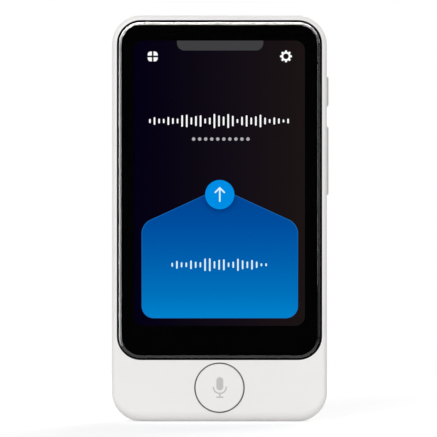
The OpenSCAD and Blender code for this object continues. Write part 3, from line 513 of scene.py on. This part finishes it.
def board_laminate(name):
    """Green solder mask over copper tracks, with gold plated holes."""
    material, tree, shader, place = new_finish(name, Roughness=0.35)
    copper = use(tree, "board_copper", Place=place, Pitch=520.0)
    masked = mix(tree, copper["Tracks"], (0.008, 0.075, 0.035, 1), (0.02, 0.14, 0.06, 1))
    fill(tree, shader, Metallic=copper["Holes"],
         Base_Color=mix(tree, copper["Holes"], masked, (0.75, 0.5, 0.18, 1)))
    raise_bump(tree, shader, math(tree, "MAXIMUM", copper["Tracks"], copper["Holes"]), 0.5, 0.00002)
    return material


def crinkled_pouch(name):
    """Aluminium pouch foil, pressed and faintly crinkled."""
    material, tree, shader, place = new_finish(name, Metallic=1.0, Roughness=0.32)
    creases = noise(tree, place, 260, 5, 0.6)
    shade = remap(tree, creases, 0.3, 0.7)
    fill(tree, shader, Base_Color=mix(tree, shade, (0.42, 0.43, 0.45, 1), (0.6, 0.61, 0.63, 1)),
         Roughness=remap(tree, creases, 0.3, 0.7, 0.38, 0.26))
    raise_bump(tree, shader, creases, 0.35, 0.00015)
    return material


def woven_mesh(name):
    """Fine black woven steel over the speaker."""
    material, tree, shader, place = new_finish(name, Metallic=0.6, Roughness=0.5)
    parts = axes(tree, place)
    waves = [math(tree, "SINE", math(tree, "MULTIPLY", parts[axis], pi / WIRE_PITCH))
             for axis in "XZ"]
    weave = math(tree, "MAXIMUM", *[math(tree, "ABSOLUTE", wave) for wave in waves])
    lifted = remap(tree, weave, 0.6, 0.95)
    fill(tree, shader, Base_Color=mix(tree, lifted, (0.004, 0.004, 0.004, 1), (0.11, 0.11, 0.115, 1)))
    raise_bump(tree, shader, weave, 0.8, 0.00005)
    return material


def ring_metal(name, colour, node):
    """Turned and anodised alloy of the camera ring."""
    material, tree, shader, place = new_finish(name, Metallic=1.0, Roughness=0.25)
    centred = stretch(tree, place, (1, 1, 1), middle_of(node))
    rings = use(tree, "turned_rings", Place=centred, Rings=36000.0)
    worn = use(tree, "edge_wear", Place=place, Width=0.0001, Amount=0.7)
    fleck = noise(tree, place, 2500, 3)
    face = mix(tree, fleck, opaque(colour, 0.9), opaque(colour))
    fill(tree, shader, Base_Color=mix(tree, worn["Mask"], face, (0.95, 0.95, 0.96, 1)),
         Roughness=remap(tree, fleck, 0.3, 0.7, 0.2, 0.32))
    raise_bump(tree, shader, rings["Height"], 0.2, 0.000003, worn["Normal"])
    return material


def flash_diffuser():
    """Milky moulded lens over the lamp, with its fine rings."""
    material, tree, shader, place = new_finish(
        "flash_plastic", Roughness=0.3, IOR=1.46, Transmission_Weight=0.55)
    centred = stretch(tree, place, (1, 1, 1), middle_of("flash_lens"))
    rings = use(tree, "turned_rings", Place=centred, Rings=22000.0)
    crest = remap(tree, rings["Height"], -1, 1)
    fill(tree, shader, Base_Color=mix(tree, crest, (0.95, 0.9, 0.72, 1), (1, 0.96, 0.82, 1)))
    raise_bump(tree, shader, rings["Height"], 0.5, 0.00002)
    return material


def coated_lens():
    """Dark lens glass under a thin anti-reflection film."""
    material, tree, shader, place = new_finish(
        "coated_lens", Roughness=0.03, IOR=1.6, Coat_Weight=1.0, Coat_Roughness=0.01,
        Thin_Film_Thickness=420.0, Thin_Film_IOR=1.8)
    depth = noise(tree, place, 900, 2)
    fill(tree, shader, Base_Color=mix(tree, depth, (0.004, 0.004, 0.012, 1), (0.012, 0.006, 0.02, 1)))
    return material


FINISHES = {
    "white_plastic": moulded_plastic("white_plastic", (0.865, 0.85, 0.835), 0.42),
    "key_plastic": moulded_plastic("key_plastic", (0.72, 0.715, 0.71), 0.36, edge=0.0002),
    "cover_glass": cover_glass("cover_glass", BARE_GLASS_IOR),
    "black_rubber": dull_sheet("black_rubber", (0.003, 0.003, 0.0035), 0.8, shine=0.02),
    "screen": dull_sheet("screen_panel", (0.012, 0.01, 0.02), 0.3),
    "backlight_white": dull_sheet("backlight_white", (0.8, 0.8, 0.8), 0.6, spread=0.95),
    "flex_film": dull_sheet("flex_film", (0.42, 0.17, 0.03), 0.35, spread=0.75),
    "frame_alloy": metal("frame_alloy", (0.62, 0.63, 0.64), 0.35, (1, 1, 0.05)),
    "screw_steel": metal("screw_steel", (0.45, 0.45, 0.46), 0.3),
    "board_green": board_laminate("board_green"),
    "black_plastic": moulded_plastic("black_plastic", (0.018, 0.018, 0.019), 0.45, depth=0.000006),
    "can_steel": metal("can_steel", (0.66, 0.65, 0.62), 0.28, (1, 1, 0.04)),
    "graphite": dull_sheet("graphite", (0.06, 0.06, 0.065), 0.5),
    "battery_pouch": crinkled_pouch("battery_pouch"),
    "white_tape": dull_sheet("white_tape", (0.78, 0.76, 0.7), 0.7, spread=0.92),
    "card_plastic": moulded_plastic("card_plastic", (0.85, 0.85, 0.86), 0.4),
    "ring_alloy": ring_metal("ring_alloy", (0.78, 0.78, 0.79), "camera_ring"),
    "clear_film": clear_part("clear_film"),
    "lens_glass": clear_part("lens_glass", (0.9, 0.92, 0.95, 1)),
    "flash_plastic": flash_diffuser(),
    "led_yellow": dull_sheet("led_yellow", (0.85, 0.6, 0.06), 0.4),
    "mesh_steel": woven_mesh("mesh_steel"),
    "copper_film": metal("copper_film", (0.78, 0.42, 0.2), 0.3, (1, 1, 0.1)),
}


# ---------------------------------------------------------------- pieces

def is_flat(face):
    """Whether a face lies square to an axis, as the flats of a moulding do."""
    return max(abs(part) for part in face.normal) > 0.99995


def settle_normals(mesh, shape, limit):
    """Normals of the real surface: flats stay flat, and curves leave them without a step."""
    least = cos(radians(limit))
    settled = []
    for face in shape.faces:
        level = is_flat(face)
        for corner in face.loops:
            near = [] if level else [other for other in corner.vert.link_loops
                                     if other.face.normal.dot(face.normal) > least]
            flats = [other.face.normal for other in near if is_flat(other.face)]
            if level or not near:
                total = face.normal.copy()
            elif flats:
                total = max(flats, key=face.normal.dot).copy()
            else:
                total = sum((other.face.normal * other.calc_angle() for other in near), Vector())
            settled.append(total.normalized() if total.length > 0.001 else corner.vert.normal.copy())
    mesh.shade_smooth()
    mesh.normals_split_custom_set(settled)


def add_piece(shape, name, body, finish, stands_for=(), smooth=None):
    """A bmesh made an object that rides on a body."""
    mesh = bpy.data.meshes.new(name)
    shape.to_mesh(mesh)
    if smooth is not None:
        settle_normals(mesh, shape, smooth)
    shape.free()
    mesh.materials.append(finish)
    made = bpy.data.objects.new(name, mesh)
    bpy.context.scene.collection.objects.link(made)
    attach(made, body)
    if stands_for:
        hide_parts(*stands_for)
    return made


def body_of(node):
    """The body that carries a node."""
    return frame["nodes"][node]["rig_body"]


def slot_of(node):
    """The material slot of a node."""
    return next(part["material_slot"] for part in frame["record"]["subparts"] if part["node"] == node)


def dress(node, finish=None, smooth=28):
    """A merged and smoothly shaded copy of a solid, which stands for it."""
    shape = bmesh.new()
    shape.from_mesh(frame["nodes"][node].data)
    bmesh.ops.remove_doubles(shape, verts=shape.verts, dist=0.000001)
    slot = slot_of(node)
    return add_piece(shape, node + "_dressed", body_of(node), finish or FINISHES[slot],
                     [node], smooth)


def plate(width, height, radius, thick, steps=8, corners="all"):
    """A rounded plate that stands in the XZ plane: its front at y 0, its back at y thick."""
    shape = bmesh.new()
    bmesh.ops.create_grid(shape, x_segments=1, y_segments=1, size=0.5)
    bmesh.ops.scale(shape, verts=shape.verts, vec=(width, height, 1))
    if radius:
        chosen = [v for v in shape.verts if corners == "all" or (v.co.y < 0) == (corners == "low")]
        bmesh.ops.bevel(shape, geom=chosen, offset=radius, segments=steps, profile=0.5,
                        affect="VERTICES", material=-1)
    return stand_up(shape, thick)


def new_points(made):
    """The vertices that an extrusion made."""
    return [part for part in made["geom"] if isinstance(part, bmesh.types.BMVert)]


def stand_up(shape, thick):
    """A flat outline in XY turned upright and given its thickness, backwards."""
    bmesh.ops.rotate(shape, verts=shape.verts, cent=(0, 0, 0), matrix=Matrix.Rotation(pi / 2, 3, "X"))
    back = new_points(bmesh.ops.extrude_face_region(shape, geom=shape.faces[:]))
    bmesh.ops.translate(shape, verts=back, vec=(0, thick, 0))
    bmesh.ops.recalc_face_normals(shape, faces=shape.faces)
    return shape


def disc(radius, thick, steps=48):
    """A round plate that stands in the XZ plane."""
    shape = bmesh.new()
    bmesh.ops.create_circle(shape, cap_ends=True, segments=steps, radius=radius)
    return stand_up(shape, thick)


def outline(points, rounds, thick, steps=8):
    """A plate from a few corners, each with the length that its rounding takes."""
    shape = bmesh.new()
    corners = [shape.verts.new((x, z, 0)) for x, z in points]
    shape.faces.new(corners)
    for corner, length in zip(corners, rounds):
        if length:
            bmesh.ops.bevel(shape, geom=[corner], offset=length, segments=steps, profile=0.5,
                            affect="VERTICES", material=-1)
    return stand_up(shape, thick)


def shift(shape, x=0.0, y=0.0, z=0.0):
    """A shape moved, and given back."""
    bmesh.ops.translate(shape, verts=shape.verts, vec=(x, y, z))
    return shape


def join(*shapes):
    """Several bmeshes as one."""
    whole = bmesh.new()
    for shape in shapes:
        part = bpy.data.meshes.new("part")
        shape.to_mesh(part)
        shape.free()
        whole.from_mesh(part)
        bpy.data.meshes.remove(part)
    return whole


# The picture lies in the film between glass and screen panel, each layer one step before the last.
# SCREEN is its width, height and corner, and the two middles are heights above the bottom edge
PICTURE_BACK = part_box("lcd_panel")[0].y - 0.02 * MM
LAYER_STEP, LAYER_THICK = 0.012 * MM, 0.006 * MM
SCREEN = (52.06 * MM, 86.9 * MM, 3 * MM)
SCREEN_MIDDLE, BUTTON_MIDDLE = 72.65 * MM, 10.36 * MM


def on_screen(shape, layer, name, finish, stands_for=()):
    """A layer of the picture. Layer 0 is the furthest back; shapes come in with y from 0."""
    shift(shape, y=PICTURE_BACK - LAYER_STEP * layer)
    return add_piece(shape, name, "chassis", finish, stands_for)


def show_picture():
    """The lit picture: dark ground, bar, icons, sound waves, blue panel and arrow."""
    ground = lit_ramp("picture_ground", "X", [
        (-26.0, (3, 1, 20)), (-16.0, (9, 4, 19)), (-8.9, (12, 8, 19)), (5.6, (19, 13, 22)),
        (26.0, (28, 21, 20))])
    on_screen(shift(plate(*SCREEN, LAYER_THICK), z=SCREEN_MIDDLE), 0, "picture_ground", ground,
              ["bond_film"])
    on_screen(shift(plate(26.3 * MM, 3.0 * MM, 2.28 * MM, LAYER_THICK, corners="low"),
                    x=0.2 * MM, z=114.58 * MM), 1, "picture_top_bar", lit("picture_bar", (64, 64, 66)))
    white = lit("picture_white", (255, 255, 255))
    pale = lit("picture_pale", (218, 245, 255))
    on_screen(four_squares(), 1, "picture_menu_icon", white)
    on_screen(toothed_wheel(), 1, "picture_settings_icon", white)
    on_screen(sound_wave(-21.2, 20.9, 91.6, 31, 4.9), 1, "picture_wave_upper", white)
    on_screen(dots(0.4, 86.1, 10, 1.84, 0.52), 1, "picture_dots", lit("picture_grey", (176, 174, 178)))
    on_screen(blue_panel(0.0), 1, "picture_panel_edge", lit("picture_rim", (26, 108, 188)))
    blue = lit_ramp("picture_blue", "Z", [
        (31.4, (0, 130, 204)), (39.0, (0, 113, 188)), (49.0, (0, 96, 174)), (60.2, (0, 78, 159)),
        (71.0, (0, 68, 148))], shade=(0.09, 68.95, 4.4, 6.0))
    on_screen(blue_panel(0.16), 2, "picture_panel", blue)
    on_screen(sound_wave(-14.4, 14.2, 47.8, 21, 4.6), 3, "picture_wave_lower", pale)
    on_screen(shift(disc(4.45 * MM, LAYER_THICK, 64), x=0.09 * MM, z=69.17 * MM), 4,
              "picture_disc", lit("picture_disc", (0, 142, 230)))
    on_screen(arrow(), 5, "picture_arrow", pale)


def four_squares():
    """Four tiles with the outer corners rounded."""
    near, far, corner = 0.26 * MM, 1.52 * MM, 0.95 * MM
    tiles = []
    for side in (-1, 1):
        for level in (-1, 1):
            points = [(side * near, level * near), (side * far, level * near),
                      (side * far, level * far), (side * near, level * far)]
            rounds = [0, 0, corner, 0]
            if side != level:
                points.reverse()
                rounds.reverse()
            tiles.append(outline(points, rounds, LAYER_THICK, 6))
    return shift(join(*tiles), x=-20.34 * MM, z=111.26 * MM)


def toothed_wheel():
    """A flat wheel of eight teeth round a hole."""
    hole, foot, tooth, teeth = 0.84, 1.39, 0.42, 8
    shape = bmesh.new()
    bmesh.ops.create_circle(shape, cap_ends=False, segments=128, radius=hole * MM)
    for corner in new_points(bmesh.ops.extrude_edge_only(shape, edges=shape.edges[:])):
        turn = teeth * corner.co.xy.angle_signed(Vector((0, 1)))
        height = min(max(0.5 + 1.4 * cos(turn), 0.0), 1.0)
        corner.co *= (foot + tooth * height) / hole
    return shift(stand_up(shape, LAYER_THICK), x=20.25 * MM, z=111.3 * MM)


def sound_wave(left, right, level, count, tall):
    """A row of upright bars, like the trace of a voice; measures in mm."""
    width, end, least = 0.5 * MM, 0.24 * MM, 0.9
    bars = []
    for index in range(count):
        share = index / (count - 1)
        swell = 0.35 + 0.65 * sin(pi * share) ** 0.7
        beat = 0.62 + 0.24 * sin(index * 1.9) + 0.14 * sin(index * 0.83 + 1.1)
        high = max(least, tall * swell * beat)
        bar = plate(width, high * MM, end, LAYER_THICK, 5)
        bars.append(shift(bar, x=(left + (right - left) * share) * MM, z=level * MM))
    return join(*bars)


def dots(middle, level, count, pitch, radius):
    """A row of round dots; measures in mm."""
    row = [shift(disc(radius * MM, LAYER_THICK, 24), x=(middle + (index - (count - 1) / 2) * pitch) * MM)
           for index in range(count)]
    return shift(join(*row), z=level * MM)


def blue_panel(inset):
    """The panel with a roof-shaped top; inset in mm."""
    half, low, eaves, ridge = 23.83 - inset, 31.5 + inset, 60.27 - inset * 0.8, 71.2 - inset
    points = [(-half, low), (half, low), (half, eaves), (0, ridge), (-half, eaves)]
    rounds = [3.7 * MM, 3.7 * MM, 2.8 * MM, 0, 2.8 * MM]
    return outline([((x + 0.1) * MM, z * MM) for x, z in points], rounds, LAYER_THICK, 10)


def arrow():
    """An upward arrow of thin strokes."""
    width, end = 0.48 * MM, 0.15 * MM
    strokes = [plate(width, 4.3 * MM, end, LAYER_THICK, 3)]
    for side in (-1, 1):
        arm = shift(plate(2.3 * MM, width, end, LAYER_THICK, 3), x=side * 1.0 * MM)
        bmesh.ops.rotate(arm, verts=arm.verts, cent=(0, 0, 0),
                         matrix=Matrix.Rotation(side * pi / 4, 3, "Y"))
        strokes.append(shift(arm, z=2.08 * MM))
    return shift(join(*strokes), x=0.09 * MM, z=69.15 * MM)


def turned(profile, steps=48):
    """A shape turned round the Y axis from a closed profile of (radius, depth) in mm."""
    shape = bmesh.new()
    corners = [shape.verts.new((radius * MM, depth * MM, 0)) for radius, depth in profile]
    edges = [shape.edges.new(pair) for pair in zip(corners, corners[1:])]
    bmesh.ops.spin(shape, geom=corners + edges, cent=(0, 0, 0), axis=(0, 1, 0), angle=2 * pi,
                   steps=steps, use_merge=True)
    bmesh.ops.remove_doubles(shape, verts=shape.verts, dist=0.0000005)
    bmesh.ops.recalc_face_normals(shape, faces=shape.faces)
    return shape


def rounded_loop(width, height, radius, steps=10):
    """The edge loop of a rounded rectangle in XY, with its face taken away."""
    shape = bmesh.new()
    bmesh.ops.create_grid(shape, x_segments=1, y_segments=1, size=0.5)
    bmesh.ops.scale(shape, verts=shape.verts, vec=(width, height, 1))
    bmesh.ops.bevel(shape, geom=shape.verts[:], offset=radius, segments=steps, profile=0.5,
                    affect="VERTICES", material=-1)
    bmesh.ops.delete(shape, geom=shape.faces[:], context="FACES_ONLY")
    return shape


def grind_glass():
    """The cover glass: a rounded plate, clear of its seat, whose front edge is ground to a curve
    that flattens inwards. Its flats are coated, and its ground edge is bare."""
    low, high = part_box("cover_glass")
    clear, corner = 0.04 * MM, 6.78 * MM
    steps, width, depth = 6, 0.92 * MM, 0.42 * MM
    shape = plate(high.x - low.x - clear, high.z - low.z - clear, corner, high.y - low.y, 16)
    shift(shape, y=low.y, z=(low.z + high.z) / 2)
    front = [face for face in shape.faces if face.normal.y < -0.9]
    rim = [point for point in shape.verts if point.co.y < low.y + 0.01 * MM]
    bmesh.ops.translate(shape, verts=rim, vec=(0, depth, 0))
    for step in range(steps):
        start, end = 1 - step / steps, 1 - (step + 1) / steps
        bmesh.ops.inset_region(shape, faces=front, thickness=width / steps, use_even_offset=True)
        rise = depth * (0.6 * (start - end) + 0.4 * (start * start - end * end))
        inner = list({point for face in front for point in face.verts})
        bmesh.ops.translate(shape, verts=inner, vec=(0, -rise, 0))
    bmesh.ops.recalc_face_normals(shape, faces=shape.faces)
    for face in shape.faces:
        face.material_index = 1 if abs(face.normal.y) > 0.99 else 0
    glass = add_piece(shape, "cover_glass_ground", "chassis", FINISHES["cover_glass"],
                      ["cover_glass"], 12)
    glass.data.materials.append(cover_glass("coated_glass", COATED_GLASS_IOR))
    return glass


def print_glass():
    """The black print on the back of the glass, open over the screen."""
    low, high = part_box("cover_glass")
    clear = 0.1 * MM
    window = shift(rounded_loop(*SCREEN), y=SCREEN_MIDDLE)
    rim = shift(rounded_loop(high.x - low.x - clear, high.z - low.z - clear, 6.74 * MM),
                y=(low.z + high.z) / 2)
    shape = join(window, rim)
    bmesh.ops.bridge_loops(shape, edges=shape.edges[:])
    stand_up(shape, 0.012 * MM)
    shift(shape, y=high.y - 0.03 * MM)
    add_piece(shape, "glass_print", "chassis", black_print())


def mark_button():
    """A plain microphone on the talk button, printed in pale grey."""
    ink = moulded_plastic("button_ink", (0.55, 0.54, 0.53), 0.5, depth=0.000002, wear=0.0)
    thick = 0.02 * MM
    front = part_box("translate_button")[0].y - 0.015 * MM
    body = rounded_loop(2.1 * MM, 4.0 * MM, 1.04 * MM, 8)
    bmesh.ops.contextual_create(body, geom=body.edges[:])
    shift(body, y=1.0 * MM)
    cup = bmesh.new()
    bmesh.ops.create_circle(cup, cap_ends=False, segments=48, radius=1.75 * MM)
    wider = new_points(bmesh.ops.extrude_edge_only(cup, edges=cup.edges[:]))
    bmesh.ops.scale(cup, verts=wider, vec=(1.24, 1.24, 1))
    bmesh.ops.bisect_plane(cup, geom=cup.verts[:] + cup.edges[:] + cup.faces[:],
                           plane_co=(0, 0.1 * MM, 0), plane_no=(0, 1, 0), clear_outer=True)
    stem = shift(plate(0.4 * MM, 0.74 * MM, 0.0, thick), z=-2.535 * MM)
    foot = shift(plate(2.2 * MM, 0.4 * MM, 0.18 * MM, thick, 4), z=-3.1 * MM)
    mark = join(stand_up(join(body, cup), thick), stem, foot)
    add_piece(shift(mark, x=0.1 * MM, y=front, z=10.6 * MM), "button_mark", "translate_button", ink)


def shade_button_gap():
    """A grey foam ring on the button's flange: painted shade that darkens the gap to a line; measures in
    mm.
    """
    flange, inner, outer, high, bevel = -4.6, 7.34, 7.66, 0.3, 0.06
    crown, shoulder = flange - high, flange - high + bevel * 2 / 3
    shape = turned([(inner, flange), (inner, shoulder), (inner + bevel, crown), (outer - bevel, crown),
                    (outer, shoulder), (outer, flange), (inner, flange)], 96)
    # The ring's grey is painted shade for the gap round the button.
    foam = dull_sheet("gap_shade_foam", (0.2, 0.2, 0.2), 0.85, shine=0.02)
    add_piece(shift(shape, z=BUTTON_MIDDLE), "button_gap_shade", "translate_button", foam,
              smooth=35)


def fit_camera():
    """Lens, stepped black hood and printed ring behind the camera window; profiles in mm."""
    middle, top = middle_of("camera_module"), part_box("camera_module")[1].y / MM
    hood = turned([(2.02, top), (3.05, top), (3.05, top + 0.25), (2.7, top + 0.25), (2.6, top + 0.14),
                   (2.3, top + 0.14), (2.2, top + 0.06), (2.02, top + 0.06), (2.02, top)])
    black = moulded_plastic("lens_hood", (0.008, 0.008, 0.009), 0.6, depth=0.000004)
    add_piece(shift(hood, x=middle.x, z=middle.z), "camera_hood", "chassis", black,
              smooth=20)
    dress("camera_lens", coated_lens(), 35)
    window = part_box("camera_window")[0].y
    ring = turned([(2.55, 0.0), (3.6, 0.0), (3.6, 0.02), (2.55, 0.02), (2.55, 0.0)], 64)
    add_piece(shift(ring, middle.x, window - 0.025 * MM, middle.z), "camera_window_print", "chassis",
              black_print())


def plate_contacts():
    """Hard gold contacts on both faces of the charging socket's tongue, and on the card."""
    gold = metal("gold_plate", (0.86, 0.62, 0.26), 0.25, (0.1, 1, 1), 9000.0, 0.000002)
    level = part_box("usb_tongue")[0].z + 2.2 * MM
    strips = []
    for index in range(12):
        for face in (-0.75, -0.05):
            strip = plate(0.26 * MM, 3.6 * MM, 0.08 * MM, 0.03 * MM, 2)
            strips.append(shift(strip, (index - 5.5) * 0.5 * MM, (face - 0.015) * MM, level))
    add_piece(join(*strips), "socket_contacts", "chassis", gold)
    thick = 0.02 * MM
    pads = [shift(plate(3.5 * MM, 1.7 * MM, 0.35 * MM, thick, 3), x=across * 2.5 * MM,
                  z=(row - 1.5) * 1.85 * MM) for across in (-1, 1) for row in range(4)]
    pads.append(plate(1.2 * MM, 7.25 * MM, 0.3 * MM, thick, 3))
    middle, back = middle_of("sim_card"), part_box("sim_card")[1].y
    add_piece(shift(join(*pads), middle.x, back - 0.005 * MM, middle.z), "card_contacts", "card_tray",
              gold)


def place_small_parts():
    """Chip capacitors and resistors in rows on both boards, with their solder ends; in mm."""
    bodies, ends = [], []
    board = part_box("main_board")[0].y / MM
    places = [(5.2 + 1.5 * (index % 6), 96.0 + 2.3 * (index // 6)) for index in range(48)]
    places += [(-18.2 + 1.6 * (index % 7), 5.0 + 2.2 * (index // 7)) for index in range(35)]
    for index, (x, z) in enumerate(places):
        lying = (index * 7) % 3 > 0
        thick = 0.35 if index % 2 else 0.5
        size, end_size = ((0.56, 0.5), (0.22, 0.52)) if lying else ((0.28, 0.56), (0.52, 0.22))
        parts = [(bodies, size, thick, 0), (ends, end_size, thick + 0.01, -0.39),
                 (ends, end_size, thick + 0.01, 0.39)]
        for kind, (width, height), deep, along in parts:
            right, up = (along, 0) if lying else (0, along)
            kind.append(shift(plate(width * MM, height * MM, 0, deep * MM), (x + right) * MM,
                              (board - deep) * MM, (z + up) * MM))
    clay = dull_sheet("ceramic_brown", (0.22, 0.14, 0.08), 0.5)
    tin = metal("solder_tin", (0.72, 0.72, 0.71), 0.3, (1, 1, 1), 3000.0)
    add_piece(join(*bodies), "chip_parts", "chassis", clay)
    add_piece(join(*ends), "chip_part_ends", "chassis", tin)


# ---------------------------------------------------------------- build

hold_camera()
light_room()
lay_floor()
for soft_box in SOFT_BOXES:
    hang_lamp(*soft_box)

for node in ("front_housing", "rear_cover", "glass_gasket", "translate_button", "power_key",
             "volume_rocker", "sim_tray", "usb_shell", "usb_tongue", "camera_ring", "camera_window",
             "camera_module", "flash_lens", "speaker", "battery"):
    dress(node)
ring_with_cards(grind_glass())
show_picture()
print_glass()
mark_button()
shade_button_gap()
fit_camera()
plate_contacts()
place_small_parts()

for name, solid in frame["nodes"].items():
    solid.data.materials.clear()
    solid.data.materials.append(FINISHES[slot_of(name)])

bpy.context.scene.view_settings.view_transform = "Standard"
